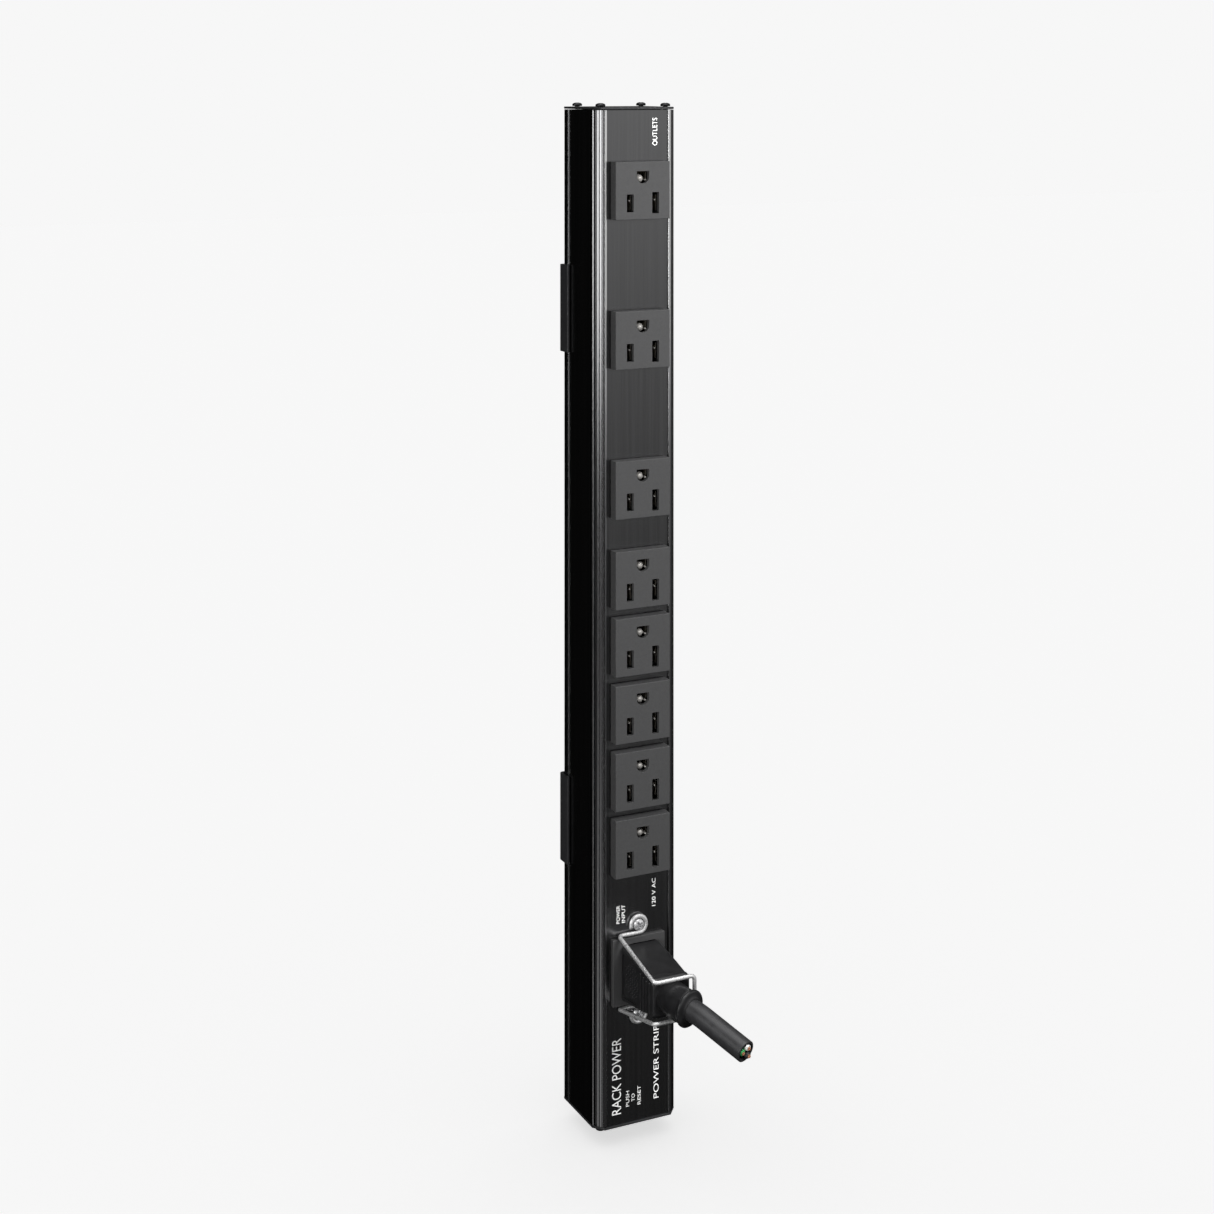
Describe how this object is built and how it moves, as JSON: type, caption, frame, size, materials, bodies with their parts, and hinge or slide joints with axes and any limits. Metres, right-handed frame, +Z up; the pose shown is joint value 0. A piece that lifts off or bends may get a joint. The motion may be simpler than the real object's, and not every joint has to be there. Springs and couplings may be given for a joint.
{
  "type": "rack power strip",
  "caption": "Black extruded rack power strip with a row of flat-blade outlets, an appliance inlet with cord plug and wire bail, push-button breaker and sliding snap-in rear clips.",
  "frame": {"origin": "middle of the upper mounting clip's back, the face that lies on the rack, with the clip at its rest place", "axes": "+Z up along the strip towards its plain end, +Y into the rack, -Y the way the outlets face, +X to the right seen from the front"},
  "size_m": [0.0446, 0.1143, 0.4658],
  "materials": {
    "black_anodised": "black anodised extrusion with a fine lengthwise grain",
    "black_sheet": "satin black coated sheet steel",
    "outlet_plastic": "fine-textured moulded black plastic",
    "inner_plastic": "plain moulded plastic",
    "brass": "bare stamped brass",
    "bright_steel": "bright nickel-plated steel",
    "black_screw": "black oxide",
    "cord_vinyl": "satin moulded vinyl",
    "button_plastic": "smooth black plastic",
    "line_insulation": "smooth insulation",
    "neutral_insulation": "smooth insulation",
    "ground_insulation": "smooth insulation"
  },
  "bodies": {
    "strip": {"bail_eye_lower": "bright_steel", "bail_eye_upper": "bright_steel", "breaker_body": "inner_plastic", "breaker_nut": "bright_steel", "cord_ground_conductor": "ground_insulation", "cord_jacket": "cord_vinyl", "cord_line_conductor": "line_insulation", "cord_neutral_conductor": "neutral_insulation", "end_cap_lower": "black_sheet", "end_cap_upper": "black_sheet", "ground_bar": "brass", "ground_bond_strap": "brass", "housing": "black_anodised", "inlet_body": "outlet_plastic", "inlet_ground_pin": "bright_steel", "inlet_line_pin": "bright_steel", "inlet_neutral_pin": "bright_steel", "inlet_nut_lower": "bright_steel", "inlet_nut_upper": "bright_steel", "inlet_screw_lower": "bright_steel", "inlet_screw_upper": "bright_steel", "line_bar": "brass", "lower_cap_screw_1": "black_screw", "lower_cap_screw_2": "black_screw", "lower_cap_screw_3": "black_screw", "lower_cap_screw_4": "black_screw", "neutral_bar": "brass", "outlet_1_back": "inner_plastic", "outlet_1_shell": "outlet_plastic", "outlet_2_back": "inner_plastic", "outlet_2_shell": "outlet_plastic", "outlet_3_back": "inner_plastic", "outlet_3_shell": "outlet_plastic", "outlet_4_back": "inner_plastic", "outlet_4_shell": "outlet_plastic", "outlet_5_back": "inner_plastic", "outlet_5_shell": "outlet_plastic", "outlet_6_back": "inner_plastic", "outlet_6_shell": "outlet_plastic", "outlet_7_back": "inner_plastic", "outlet_7_shell": "outlet_plastic", "outlet_8_back": "inner_plastic", "outlet_8_shell": "outlet_plastic", "plug_body": "cord_vinyl", "plug_ground_contact": "brass", "plug_line_contact": "brass", "plug_neutral_contact": "brass", "rear_cover": "black_sheet", "upper_cap_screw_1": "black_screw", "upper_cap_screw_2": "black_screw", "upper_cap_screw_3": "black_screw", "upper_cap_screw_4": "black_screw", "wire_breaker_to_line_bar": "line_insulation", "wire_inlet_to_breaker": "line_insulation", "wire_inlet_to_ground_bar": "ground_insulation", "wire_inlet_to_neutral_bar": "neutral_insulation"},
    "bail": {"bail_bow": "bright_steel"},
    "breaker_button": {"breaker_button": "button_plastic"},
    "upper_clip": {"mounting_clip_upper": "black_sheet"},
    "lower_clip": {"mounting_clip_lower": "black_sheet"}
  },
  "joints": [
    {"name": "bail_swing", "type": "hinge", "parent": "strip", "child": "bail", "pos_m": [-0.0045, -0.0372, -0.2951], "axis": [0, 0, 1], "range_deg": [0, 80]},
    {"name": "breaker_button_travel", "type": "slide", "parent": "strip", "child": "breaker_button", "axis": [0, 0, -1], "range_m": [0, 0.0035]},
    {"name": "upper_clip_slide", "type": "slide", "parent": "strip", "child": "upper_clip", "axis": [0, 0, 1], "range_m": [-0.08, 0.07]},
    {"name": "lower_clip_slide", "type": "slide", "parent": "strip", "child": "lower_clip", "axis": [0, 0, 1], "range_m": [-0.105, 0.1]}
  ]
}
